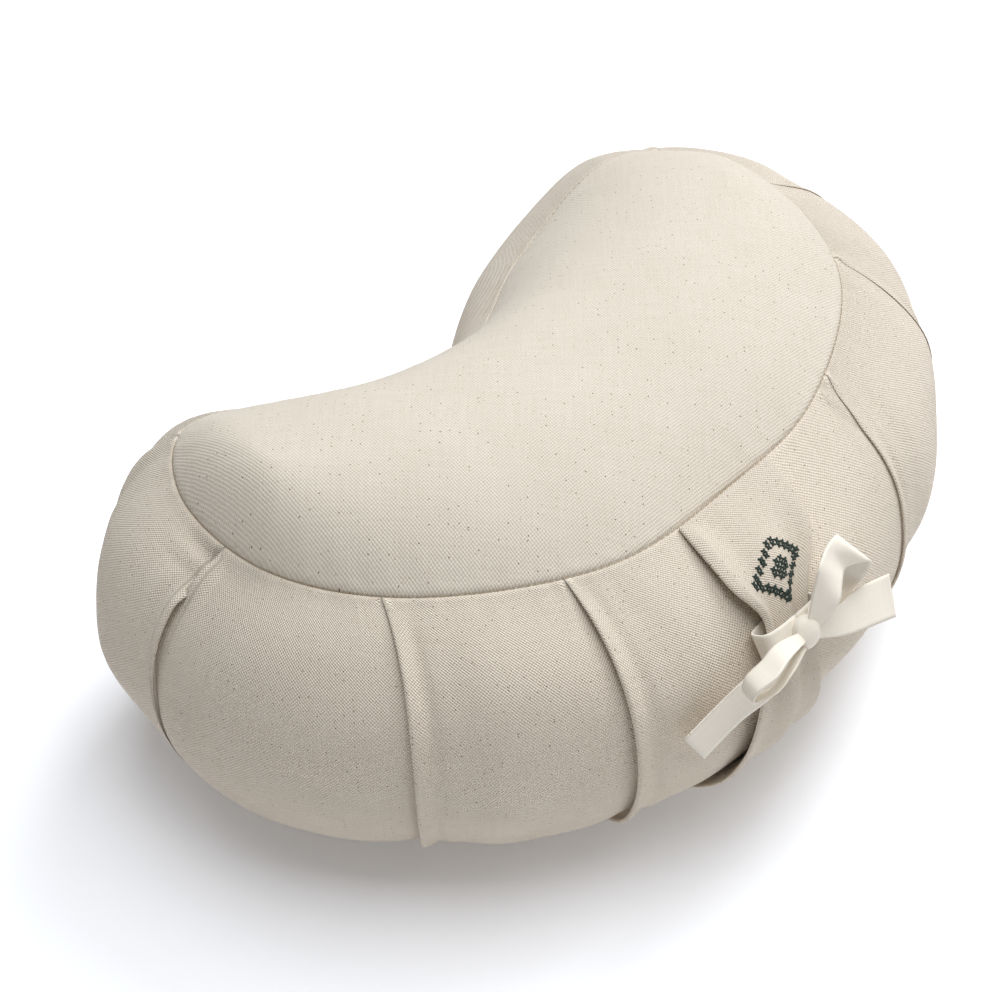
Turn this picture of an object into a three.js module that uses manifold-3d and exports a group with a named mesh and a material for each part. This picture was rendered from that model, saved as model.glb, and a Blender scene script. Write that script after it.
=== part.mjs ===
// Crescent meditation cushion: a pleated canvas cushion, its gathered carry strap and the tape bow round it.
// Millimetres, +Z up. The origin is on the flat underside, and the strap side faces -Y.
import * as THREE from 'three';
import { mergeVertices } from 'three/addons/utils/BufferGeometryUtils.js';
import Module from 'manifold-3d';

const wasm = await Module();
wasm.setup();

// Seam of the top panel seen from above, from the strap round by the right horn and back by the left one
const seamPoints = [
  { x: 5.5, y: -69.2 },
  { x: 64.5, y: -62.2 },
  { x: 137, y: -20.5 },
  { x: 162.5, y: 34 },
  { x: 158.5, y: 82 },
  { x: 122, y: 104.5 },
  { x: 57.5, y: 104.5 },
  { x: -1, y: 80.5 },
  { x: -63.5, y: 78 },
  { x: -135.5, y: 113 },
  { x: -161.5, y: 87 },
  { x: -166.5, y: 31 },
  { x: -138, y: -20.5 },
  { x: -67.5, y: -65.5 },
];
const innerMiddle = 7; // the seam point in the middle of the hollow side

// The skin at places along the seam. at: share of half the seam, 0 at the strap and 1 in the middle of the
// hollow. height: height of the top seam. bulge: how far the filled band stands out past the seam. fall: angle
// at which the band leaves the seam, below level. swell: how full the top panel's edge is, 2 for an even curve.
const sides = [
  { at: -1.15, height: 134.5, bulge: 25.5, fall: 42, swell: 2.8 },
  { at: -1, height: 130, bulge: 17, fall: 60, swell: 3.6 },
  { at: -0.85, height: 146, bulge: 17, fall: 60, swell: 3.6 },
  { at: -0.72, height: 150, bulge: 20, fall: 40, swell: 2.3 },
  { at: -0.6, height: 150.5, bulge: 40, fall: 30, swell: 2 },
  { at: -0.45, height: 151, bulge: 44, fall: 28, swell: 2 },
  { at: -0.25, height: 150.5, bulge: 51, fall: 28, swell: 2 },
  { at: 0, height: 145.5, bulge: 56, fall: 28, swell: 2 },
  { at: 0.25, height: 147, bulge: 48.5, fall: 28, swell: 2 },
  { at: 0.45, height: 149.5, bulge: 45.5, fall: 28, swell: 2 },
  { at: 0.6, height: 150.5, bulge: 39, fall: 30, swell: 2 },
  { at: 0.72, height: 156, bulge: 32.5, fall: 36, swell: 2.2 },
  { at: 0.85, height: 134.5, bulge: 25.5, fall: 42, swell: 2.8 },
  { at: 1, height: 130, bulge: 17, fall: 60, swell: 3.6 },
  { at: 1.15, height: 146, bulge: 17, fall: 60, swell: 3.6 },
];
const highBulge = 0.09; // the band is this much fuller above its middle than below
const fallReach = 0.45; // how soon the band's first fall dies out, as an angle of its turn
const baseSeamHeight = 12;
const baseSpread = 2; // the base seam stands outside the top one by this

const crownHeight = { middle: 174.5, right: 172.5, left: 180 }; // the top panel's middle line
const underTurn = 0.3; // share of the base panel that curves up to its seam, the rest lies flat
const hornTip = 0.6; // where the horns' ends are, as a share of half the seam

// Knife pleats of the band, all folded the same way round. at: top end along the seam, as a share of half the
// seam from the strap. lean: how far the foot moves towards the strap, same unit. depth: fall of the cloth
// under the fold, mm.
// ridge: height of the fold's round edge, mm. from, to: where it is deepest, as shares of the band's drop.
// echo: depth of the softer trough beside the fold, mm.
const pleats = [
  { at: -0.672, lean: 0.012, depth: 3.5, ridge: 1.2, from: 0.08, to: 0.7, echo: 1 },
  { at: -0.512, lean: -0.009, depth: 5.5, ridge: 1.8, from: 0.24, to: 0.55, echo: 2.2 },
  { at: -0.362, lean: 0.029, depth: 3.5, ridge: 1.6, from: 0.3, to: 0.8, echo: 1.6 },
  { at: -0.203, lean: 0.022, depth: 4, ridge: 1.8, from: 0.12, to: 0.85, echo: 1.4 },
  { at: 0.187, lean: 0.063, depth: 6, ridge: 1.8, from: 0.25, to: 0.75, echo: 2.4 },
  { at: 0.37, lean: 0.048, depth: 4.5, ridge: 1.8, from: 0.12, to: 0.7, echo: 1.8 },
  { at: 0.508, lean: 0.02, depth: 3.5, ridge: 1.4, from: 0.1, to: 0.7, echo: 1.2 },
  { at: 0.645, lean: 0.012, depth: 3.5, ridge: 1.2, from: 0.08, to: 0.7, echo: 1 },
];
const pleatStep = 0.7; // half the width of the step at a fold
const foldReach = 7; // how far beside a fold the cloth sinks, mm
const ridgeReach = 5;
const echoPlace = 15;
const echoReach = 7;
const leanDrop = 0.16; // share of the band's drop over which a pleat takes most of its lean
const panelPuff = 1.6; // the cloth stands out this much between two pleats

// Steps of the cushion's skin
const plainColumn = 13; // spacing of the columns away from pleats, mm
const pleatColumns = [-21, -10, -4, -pleatStep, pleatStep, 4, 9, 15, 23]; // mm from a fold, + where the cloth lies over
const bandRows = 15;
const topRows = 7;
const baseRows = [0.12, underTurn, 0.65];

// Strap: a canvas strip sewn into both seams and gathered by the tape. down: share of the band's drop.
// along: place of its middle beside the strap line, mm. half: half its width. gap: clear space behind.
// fold: height of the gathers.
const strapRows = [
  { down: 0.02, along: -7, half: 29, gap: 0.6, fold: 0 },
  { down: 0.09, along: -10, half: 28, gap: 1.8, fold: 0.5 },
  { down: 0.17, along: -15, half: 24, gap: 3.5, fold: 1.2 },
  { down: 0.24, along: -23, half: 13.2, gap: 5, fold: 1.6 },
  { down: 0.29, along: -28.3, half: 10.5, gap: 5.6, fold: 1.8 },
  { down: 0.35, along: -30, half: 12, gap: 7, fold: 1.5 },
  { down: 0.46, along: -31, half: 16, gap: 9, fold: 1.4 },
  { down: 0.64, along: -30, half: 20, gap: 7, fold: 1.2 },
  { down: 0.83, along: -28, half: 22, gap: 2.6, fold: 0.6 },
  { down: 0.96, along: -26, half: 22, gap: 0.8, fold: 0 },
];
const strapCloth = 2.2;
const strapFolds = 2;
const strapSteps = { across: 16, down: 36 };

// Tape bow, 20 mm cotton tape. The knot stands in front of the gathered waist of the strap.
const tapeCloth = 1.2;
const waist = { down: 0.29, along: -28.3, rise: 9.2 };
const wrap = { half: 16.8, deep: 6.1, high: 13, round: 3.4, steps: 28 };
const knot = { x: -22, y: -132.6, z: 126, wide: 5.6, deep: 4.6, high: 6 };

// Each row gives the two edges of the tape from the knot's middle: x to the right, out away from the
// cushion and z up, mm. A loop leaves the knot and comes back to it, and a tail ends cut off.
const edge = (x, out, z) => new THREE.Vector3(knot.x + x, knot.y - out, knot.z + z);
const upperLoop = [
  [edge(0, 0, 5), edge(4, 2, 0)],
  [edge(4, -2, 21), edge(13, 5, 12)],
  [edge(7, -3, 30), edge(19, 1, 15)],
  [edge(16, -7, 31), edge(27, -3, 15)],
  [edge(26, -10, 29), edge(35, 2, 16)],
  [edge(33, -13, 18), edge(42, -2, 2)],
  [edge(27, -13, 9), edge(36, -4, -7)],
  [edge(17, -10, 5), edge(24, -3, -8)],
  [edge(2, -2, 4), edge(4, 0, -2)],
];
const upperTail = [
  [edge(2, 1, 2), edge(3, 2, -5)],
  [edge(19, 1, 1), edge(14, 7, -9)],
  [edge(35, -1, -3), edge(28, 9, -15)],
  [edge(45, 0, -5), edge(38, 11, -17)],
  [edge(52, 2, -5), edge(47, 12, -20)],
];
const lowerLoop = [
  [edge(-2, 0, 2), edge(-3, 3, -1)],
  [edge(-21, 0, 9), edge(-28, 12, 16)],
  [edge(-30, 1, 8), edge(-37, 14, 16)],
  [edge(-38, 0, 4), edge(-45, 12, 12)],
  [edge(-39, 1, -3), edge(-46, 11, 5)],
  [edge(-32, 3, -8), edge(-39, 10, 0)],
  [edge(-24, 4, -9), edge(-30, 11, -2)],
  [edge(-17, 4, -6), edge(-21, 10, 0)],
  [edge(-2, 1, -2), edge(-3, 4, -4)],
];
const lowerTail = [
  [edge(-2, 0, -1), edge(-2, 1, -5)],
  [edge(-16, -2, 0), edge(-11, 4, -12)],
  [edge(-33, -3, -3), edge(-23, 4, -17)],
  [edge(-43, -6, -11), edge(-36, -1, -26)],
  [edge(-60, -10, -24), edge(-51, -6, -41)],
];

const canvas = new THREE.MeshStandardMaterial({ color: 0xe6dfd1, roughness: 0.95, metalness: 0 });
const canvasStrap = new THREE.MeshStandardMaterial({ color: 0xe2d9c9, roughness: 0.95, metalness: 0 });
const cottonTape = new THREE.MeshStandardMaterial({ color: 0xf2e9d8, roughness: 0.8, metalness: 0 });

const ease = (from, to, x) => THREE.MathUtils.smoothstep(x, from, to);
const mix = THREE.MathUtils.lerp;

// The seam as even steps along a smooth closed curve
const seamSteps = 720;
const seamCurve = new THREE.CatmullRomCurve3(
  seamPoints.map((p) => new THREE.Vector3(p.x, p.y, 0)), true, 'centripetal');
seamCurve.arcLengthDivisions = 4000;
const seamLine = seamCurve.getSpacedPoints(seamSteps).slice(0, seamSteps);
const seamLength = seamCurve.getLength();
const innerStep = nearestStep(seamPoints[innerMiddle]);
const half = seamLength / 2;

function nearestStep(point) {
  let best = 0;
  const away = (p) => Math.hypot(p.x - point.x, p.y - point.y);
  seamLine.forEach((p, i) => {
    best = away(p) < away(seamLine[best]) ? i : best;
  });
  return best;
}

// Point and outward direction of the seam at t: 0 at the strap, +1 or -1 in the middle of the hollow side
function seamAt(t) {
  const rightShare = innerStep / seamSteps;
  const share = t >= 0 ? t * rightShare : 1 + t * (1 - rightShare);
  const place = THREE.MathUtils.euclideanModulo(share, 1) * seamSteps;
  const i = Math.floor(place);
  const step = (k) => seamLine[THREE.MathUtils.euclideanModulo(k, seamSteps)];
  const point = step(i).clone().lerp(step(i + 1), place - i);
  const reach = 6;
  const along = step(i + reach).clone().sub(step(i - reach)).normalize();
  return { point, out: new THREE.Vector3(along.y, -along.x, 0) };
}

// How far the cloth stands out at a place on the band, from every pleat, mm
function pleatRelief(t, down) {
  let relief = 0;
  let nearest = Infinity;
  for (const pleat of pleats) {
    const side = Math.sign(pleat.at);
    const fold = pleat.at - side * pleat.lean * (1 - Math.exp(-down / leanDrop));
    const beside = (t - fold) * half; // mm into the cloth that lies over
    nearest = Math.min(nearest, Math.abs(beside));
    const strength = mix(0.12, 1, ease(0, pleat.from, down)) * mix(1, 0.25, ease(pleat.to, 1, down));
    const under = -pleat.depth * Math.exp(Math.min(beside, 0) / foldReach);
    const over = pleat.ridge * Math.exp(-((Math.max(beside, 0) / ridgeReach) ** 2));
    const trough = -pleat.echo * Math.exp(-(((beside - echoPlace) / echoReach) ** 2));
    relief += strength * (mix(under, over, ease(-pleatStep, pleatStep, beside)) + trough);
  }
  return relief + panelPuff * ease(0, 40, nearest) * Math.sin(Math.PI * down);
}

// The band's section at t: how far out past the seam and how high it is, at a share of its drop
function bandSection(t, down) {
  const side = (name) => tableValue(sides, 'at', name, t);
  const turn = Math.PI * down;
  const outward = side('bulge') * Math.sin(turn) * (1 + highBulge * Math.cos(turn))
    + baseSpread * (1 - Math.cos(turn)) / 2;
  const drop = (side('height') - baseSeamHeight) * (1 - Math.cos(turn)) / 2;
  const firstFall = side('bulge') * Math.tan(THREE.MathUtils.degToRad(side('fall'))) * Math.sin(turn)
    * Math.exp(-turn / fallReach);
  return new THREE.Vector2(outward, side('height') - drop - firstFall);
}

// A point of the band, raised by rise along the cloth's own outward direction
function bandPoint(t, down, rise = 0) {
  const { point, out } = seamAt(t);
  const section = bandSection(t, down);
  const slope = bandSection(t, down + 0.001).sub(bandSection(t, down - 0.001)).normalize();
  const outward = section.x - slope.y * rise;
  return point.clone().addScaledVector(out, outward).setZ(section.y + slope.x * rise);
}

// Middle line of the panels: from the middle of the crescent to a place inside each horn
function spineAt(t) {
  const at = Math.abs(t);
  const share = at < hornTip ? at / hornTip : (1 - at) / (1 - hornTip);
  const u = Math.sin(Math.min(share * 1.12, 1) * Math.PI / 2);
  const [outer, rear, front] = t >= 0 ? [2, 3, 5] : [12, 11, 9];
  const panelMiddle = 56; // the strap line lies this far in front of the crescent's own middle
  const endX = (seamPoints[rear].x + seamPoints[front].x) / 2 * 0.92;
  const endY = ((seamPoints[outer].y + seamPoints[front].y) / 2 - panelMiddle) * 0.9 + panelMiddle;
  const middleY = (seamPoints[0].y + seamPoints[innerMiddle].y) / 2;
  return { x: u * endX, y: mix(middleY, endY, u * u), u };
}

function topPoint(t, inward) {
  const { point } = seamAt(t);
  const spine = spineAt(t);
  const ends = t >= 0 ? crownHeight.right : crownHeight.left;
  const rise = 1 - (1 - inward) ** tableValue(sides, 'at', 'swell', t);
  const z = mix(tableValue(sides, 'at', 'height', t), mix(crownHeight.middle, ends, spine.u), rise);
  return new THREE.Vector3(mix(point.x, spine.x, inward), mix(point.y, spine.y, inward), z);
}

function basePoint(t, inward) {
  const rim = bandPoint(t, 1);
  const spine = spineAt(t);
  const z = baseSeamHeight * (1 - ease(0, underTurn, inward));
  return new THREE.Vector3(mix(rim.x, spine.x, inward), mix(rim.y, spine.y, inward), z);
}

// Columns of the skin, close together at each fold and even between
function columnPlaces() {
  const reach = (pleatColumns[pleatColumns.length - 1] + plainColumn / 2) / half;
  const places = [];
  for (const pleat of pleats) {
    for (const beside of pleatColumns) {
      places.push(pleat.at + beside / half);
    }
  }
  const plain = Math.round(seamLength / plainColumn);
  for (let i = 0; i < plain; i += 1) {
    const t = -1 + 2 * i / plain;
    if (pleats.every((pleat) => Math.abs(t - pleat.at) > reach)) {
      places.push(t);
    }
  }
  return places.sort((a, b) => a - b);
}

// A column leans as the pleats near it do, so that its points stay on the folds
function leaningPlace(t, down) {
  let weight = 0;
  let lean = 0;
  for (const pleat of pleats) {
    const near = Math.exp(-(((t - pleat.at) * half / 26) ** 2));
    weight += near;
    lean -= near * Math.sign(pleat.at) * pleat.lean;
  }
  return t + lean / Math.max(weight, 1) * (1 - Math.exp(-down / leanDrop));
}

function geometryOf(points, triangles) {
  const geometry = new THREE.BufferGeometry();
  geometry.setAttribute('position', new THREE.Float32BufferAttribute(points.flatMap((p) => [p.x, p.y, p.z]), 3));
  geometry.setIndex(triangles);
  return geometry;
}

// Two triangles for each square between rows of equal length; a closed row meets its own start
function stitchRows(rowCount, columnCount, closed, first = 0) {
  const triangles = [];
  const lastColumn = closed ? columnCount : columnCount - 1;
  for (let r = 0; r < rowCount - 1; r += 1) {
    for (let c = 0; c < lastColumn; c += 1) {
      const next = (c + 1) % columnCount;
      const a = first + r * columnCount + c;
      const b = first + r * columnCount + next;
      triangles.push(a, b, b + columnCount, a, b + columnCount, a + columnCount);
    }
  }
  return triangles;
}

// The filled cushion: top panel, pleated band and base panel as one closed skin
function makeCushion() {
  const columns = columnPlaces();
  const rows = [];
  for (let r = topRows - 1; r > 0; r -= 1) {
    rows.push(columns.map((t) => topPoint(t, (r / topRows) ** 1.25)));
  }
  for (let r = 0; r <= bandRows; r += 1) {
    const down = r / bandRows;
    const inner = r > 0 && r < bandRows;
    rows.push(columns.map((t) => {
      const place = leaningPlace(t, down);
      return bandPoint(place, down, inner ? pleatRelief(place, down) : 0);
    }));
  }
  for (const inward of baseRows) {
    rows.push(columns.map((t) => basePoint(leaningPlace(t, 1), inward)));
  }
  const points = rows.flat();
  const count = columns.length;
  const triangles = stitchRows(rows.length, count, true).reverse();
  closeAlongSpine(points, triangles, columns, 0, (t) => topPoint(t, 1), false);
  closeAlongSpine(points, triangles, columns, (rows.length - 1) * count, (t) => basePoint(t, 1), true);
  return new THREE.Mesh(geometryOf(points, triangles), canvas);
}

// Fills a panel's middle from its last ring to points on the spine, one for each pair of facing columns
function closeAlongSpine(points, triangles, columns, ringStart, spinePoint, faceDown) {
  const count = columns.length;
  const knots = 12;
  const first = points.length;
  const places = [];
  for (let k = 0; k <= 2 * knots; k += 1) {
    points.push(spinePoint((k / knots - 1) * hornTip));
    places.push(points[points.length - 1].x);
  }
  const nearestKnot = (point) => {
    let best = 0;
    places.forEach((x, k) => {
      best = Math.abs(x - point.x) < Math.abs(places[best] - point.x) ? k : best;
    });
    return best;
  };
  const add = (a, b, c) => triangles.push(...(faceDown ? [a, c, b] : [a, b, c]));
  for (let c = 0; c < count; c += 1) {
    const next = (c + 1) % count;
    const from = nearestKnot(spinePoint(columns[c]));
    const to = nearestKnot(spinePoint(columns[next]));
    add(ringStart + c, ringStart + next, first + from);
    const step = Math.sign(to - from);
    for (let k = from; k !== to; k += step) {
      add(first + k, ringStart + next, first + k + step);
    }
  }
}

// Smooth value of a named column of a table at a place between its rows
function tableValue(rows, key, name, at) {
  let i = 0;
  while (i < rows.length - 2 && at > rows[i + 1][key]) {
    i += 1;
  }
  const row = (k) => rows[THREE.MathUtils.clamp(k, 0, rows.length - 1)];
  const slope = (k) => (row(k + 1)[name] - row(k - 1)[name]) / (row(k + 1)[key] - row(k - 1)[key]);
  const width = row(i + 1)[key] - row(i)[key];
  const u = THREE.MathUtils.clamp((at - row(i)[key]) / width, 0, 1);
  const [p, q] = [row(i)[name], row(i + 1)[name]];
  return p * (2 * u ** 3 - 3 * u ** 2 + 1) + slope(i) * width * (u ** 3 - 2 * u ** 2 + u)
    + q * (3 * u ** 2 - 2 * u ** 3) + slope(i + 1) * width * (u ** 3 - u ** 2);
}

function strapPoint(across, down, through) {
  const value = (name) => tableValue(strapRows, 'down', name, down);
  const along = value('along') + across * value('half');
  const fold = value('fold') * (1 + Math.cos(across * Math.PI * strapFolds));
  return bandPoint(along / half, down, value('gap') + fold + through * strapCloth);
}

// A strip of cloth with two faces and four edges, from a function of across, down and through
function stripGeometry(pointAt, acrossSteps, downSteps) {
  const points = [];
  for (const through of [0, 1]) {
    for (let d = 0; d <= downSteps; d += 1) {
      for (let a = 0; a <= acrossSteps; a += 1) {
        points.push(pointAt(a / acrossSteps, d / downSteps, through));
      }
    }
  }
  const wide = acrossSteps + 1;
  const sheet = wide * (downSteps + 1);
  const inner = stitchRows(downSteps + 1, wide, false);
  const outer = stitchRows(downSteps + 1, wide, false, sheet).reverse();
  const rim = [];
  for (let a = 0; a < acrossSteps; a += 1) rim.push(a);
  for (let d = 0; d < downSteps; d += 1) rim.push(d * wide + acrossSteps);
  for (let a = acrossSteps; a > 0; a -= 1) rim.push(downSteps * wide + a);
  for (let d = downSteps; d > 0; d -= 1) rim.push(d * wide);
  const edges = rim.flatMap((i, k) => {
    const j = rim[(k + 1) % rim.length];
    return [j, i, i + sheet, j, i + sheet, j + sheet];
  });
  return geometryOf(points, [...inner, ...outer, ...edges]);
}

function makeStrap() {
  const first = strapRows[0].down;
  const last = strapRows[strapRows.length - 1].down;
  const pointAt = (a, d, through) => strapPoint(2 * a - 1, mix(first, last, d), through);
  return new THREE.Mesh(stripGeometry(pointAt, strapSteps.across, strapSteps.down), canvasStrap);
}

// A length of tape between two smooth edges
function tapeGeometry(rows, stepsPerRow) {
  const edges = [0, 1].map((side) => new THREE.CatmullRomCurve3(rows.map((row) => row[side]), false, 'centripetal'));
  const steps = (rows.length - 1) * stepsPerRow;
  const faceAt = (d) => {
    const [a, b] = edges.map((curve) => curve.getPoint(d));
    const [c, e] = edges.map((curve) => curve.getPoint(Math.min(d + 0.01, 1)));
    const [f, g] = edges.map((curve) => curve.getPoint(Math.max(d - 0.01, 0)));
    const run = c.add(e).sub(f).sub(g);
    return { a, b, normal: b.clone().sub(a).cross(run).normalize() };
  };
  return stripGeometry((across, down, through) => {
    const { a, b, normal } = faceAt(down);
    return a.clone().lerp(b, across).addScaledVector(normal, (through - 0.5) * tapeCloth);
  }, 3, steps);
}

// Tape round the strap's waist: a rounded oblong ring in the cloth's own directions there
function wrapGeometry() {
  const middle = bandPoint(waist.along / half, waist.down, waist.rise);
  const outward = bandPoint(waist.along / half, waist.down, waist.rise + 1).sub(middle).normalize();
  const right = bandPoint(waist.along / half + 0.01, waist.down, waist.rise).sub(middle).normalize();
  const up = right.clone().cross(outward).negate().normalize();
  const corners = [[0, -1], [1, -1], [1, 1], [0, 1]];
  const points = [];
  for (const [side, level] of corners) {
    for (let k = 0; k < wrap.steps; k += 1) {
      const angle = 2 * Math.PI * k / wrap.steps;
      const round = (value) => Math.sign(value) * Math.abs(value) ** (2 / wrap.round);
      points.push(middle.clone()
        .addScaledVector(right, round(Math.cos(angle)) * (wrap.half + side * tapeCloth))
        .addScaledVector(outward, round(Math.sin(angle)) * (wrap.deep + side * tapeCloth))
        .addScaledVector(up, level * wrap.high / 2));
    }
  }
  const triangles = stitchRows(corners.length + 1, wrap.steps, true).map((i) => i % points.length);
  return geometryOf(points, triangles);
}

function knotGeometry() {
  const geometry = new THREE.SphereGeometry(1, 12, 8);
  geometry.scale(knot.wide, knot.deep, knot.high);
  geometry.rotateX(-0.3);
  geometry.translate(knot.x, knot.y, knot.z);
  return geometry;
}

function toManifold(geometry) {
  const plain = geometry.clone();
  plain.deleteAttribute('normal');
  plain.deleteAttribute('uv');
  const merged = mergeVertices(plain, 1e-3);
  const solid = (triVerts) => new wasm.Manifold(new wasm.Mesh({
    numProp: 3,
    vertProperties: new Float32Array(merged.attributes.position.array),
    triVerts,
  }));
  const body = solid(new Uint32Array(merged.index.array));
  return body.volume() > 0 ? body : solid(new Uint32Array(merged.index.array).reverse());
}

function fromManifold(body) {
  const { vertProperties, triVerts } = body.getMesh();
  const geometry = new THREE.BufferGeometry();
  geometry.setAttribute('position', new THREE.BufferAttribute(new Float32Array(vertProperties), 3));
  geometry.setIndex(new THREE.BufferAttribute(new Uint32Array(triVerts), 1));
  return geometry;
}

function makeBow() {
  const pieces = [
    wrapGeometry(),
    knotGeometry(),
    tapeGeometry(upperLoop, 3),
    tapeGeometry(upperTail, 3),
    tapeGeometry(lowerLoop, 3),
    tapeGeometry(lowerTail, 3),
  ];
  const body = pieces.map(toManifold).reduce((whole, piece) => whole.add(piece));
  return new THREE.Mesh(fromManifold(body), cottonTape);
}

const meditationCushion = new THREE.Group();
const parts = { cushion: makeCushion(), carry_strap: makeStrap(), ribbon_bow: makeBow() };
for (const [name, mesh] of Object.entries(parts)) {
  mesh.name = name;
  mesh.geometry.computeVertexNormals();
  meditationCushion.add(mesh);
}

export default meditationCushion;
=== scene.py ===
# Crescent meditation cushion in undyed canvas, with a gathered carry strap and a tape bow.
# The shape tables are in millimetres, and every mesh is made in metres.
import math
import bmesh
import bpy
import numpy as np
from mathutils import Matrix, Vector


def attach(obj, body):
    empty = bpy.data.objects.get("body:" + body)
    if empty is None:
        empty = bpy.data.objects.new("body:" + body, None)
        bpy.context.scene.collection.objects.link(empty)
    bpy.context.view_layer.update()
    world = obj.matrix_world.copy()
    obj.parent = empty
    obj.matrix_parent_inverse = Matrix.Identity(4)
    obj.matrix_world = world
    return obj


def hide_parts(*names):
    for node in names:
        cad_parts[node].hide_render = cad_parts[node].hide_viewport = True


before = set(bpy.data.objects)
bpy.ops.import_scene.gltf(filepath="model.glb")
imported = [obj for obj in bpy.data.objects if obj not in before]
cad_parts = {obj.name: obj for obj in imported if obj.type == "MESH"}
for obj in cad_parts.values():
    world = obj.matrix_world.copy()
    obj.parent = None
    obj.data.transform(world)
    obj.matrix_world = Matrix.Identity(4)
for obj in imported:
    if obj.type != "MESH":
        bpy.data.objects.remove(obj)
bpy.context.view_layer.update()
mm = 0.001
scene = bpy.context.scene

# small helpers


def smooth(low, high, x):
    u = np.clip((x - low) / (high - low), 0, 1)
    return u * u * (3 - 2 * u)


def mix(a, b, u):
    return a + (b - a) * u


def hump(x, middle, reach):
    return np.exp(-((x - middle) / reach) ** 2)


def unit(v):
    return v / np.maximum(np.linalg.norm(v, axis=-1, keepdims=True), 1e-9)


def linear(hexColour):
    # sRGB hex to the linear colour that a shader socket takes
    channels = [int(hexColour[i:i + 2], 16) / 255 for i in (1, 3, 5)]
    return [c / 12.92 if c <= 0.04045 else ((c + 0.055) / 1.055) ** 2.4 for c in channels] + [1.0]


def addNode(tree, kind, inputs=None, **settings):
    node = tree.nodes.new(kind)
    for key, value in settings.items():
        setattr(node, key, value)
    for socket, value in (inputs or {}).items():
        if isinstance(value, bpy.types.NodeSocket):
            tree.links.new(value, node.inputs[socket])
        else:
            node.inputs[socket].default_value = value
    return node


def newMaterial(name):
    material = bpy.data.materials.new(name)
    material.use_nodes = True
    material.node_tree.nodes.clear()
    return material, material.node_tree


def newObject(name, data):
    piece = bpy.data.objects.new(name, data)
    scene.collection.objects.link(piece)
    return piece


def ringFaces(rows, turns):
    # faces of a tube, ring by ring
    columns = [(c, (c + 1) % turns) for c in range(turns)]
    return [(r * turns + c, r * turns + n, (r + 1) * turns + n, (r + 1) * turns + c)
            for r in range(rows) for c, n in columns]


def addMesh(name, points, faces, uvs, material):
    # points in mm; uvs holds one pair for each face corner, in mm
    mesh = bpy.data.meshes.new(name)
    mesh.from_pydata((np.asarray(points) * mm).tolist(), [], faces)
    layer = mesh.uv_layers.new(name="clothUv")
    layer.data.foreach_set("uv", (np.asarray(uvs, float) * mm).ravel())
    mesh.polygons.foreach_set("use_smooth", [True] * len(mesh.polygons))
    mesh.materials.append(material)
    shell = bmesh.new()
    shell.from_mesh(mesh)
    bmesh.ops.recalc_face_normals(shell, faces=shell.faces)
    shell.to_mesh(mesh)
    shell.free()
    return newObject(name, mesh)


def cubic(u, start, leave, end, arrive):
    # smooth way from start to end, with its slope at both
    return ((2 * u ** 3 - 3 * u ** 2 + 1) * start + (u ** 3 - 2 * u ** 2 + u) * leave
            + (3 * u ** 2 - 2 * u ** 3) * end + (u ** 3 - u ** 2) * arrive)


def curveBetween(u, knots, gaps):
    # smooth curve from the second of four knots to the third
    a, b, c, d = knots
    first, mid, last = gaps
    leave = ((b - a) / first - (c - a) / (first + mid) + (c - b) / mid) * mid
    arrive = ((c - b) / mid - (d - b) / (mid + last) + (d - c) / last) * mid
    return cubic(u, b, leave, c, arrive)


def runAlong(line):
    # length of the line up to each of its points
    return np.concatenate([[0], np.cumsum(np.linalg.norm(np.diff(line, axis=0), axis=-1))])


def table(columns, rows):
    # each row as a dictionary
    return [dict(zip(columns, row)) for row in rows]


def tableValue(rows, key, name, at):
    # smooth value of a table's column between its rows
    keys = np.array([row[key] for row in rows], float)
    values = np.array([row[name] for row in rows], float)
    slope = np.gradient(values, keys)
    slope[1:-1] = (values[2:] - values[:-2]) / (keys[2:] - keys[:-2])
    i = np.clip(np.searchsorted(keys, at, side="right") - 1, 0, len(keys) - 2)
    width = keys[i + 1] - keys[i]
    u = np.clip((at - keys[i]) / width, 0, 1)
    return cubic(u, values[i], slope[i] * width, values[i + 1], slope[i + 1] * width)


# materials


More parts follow.
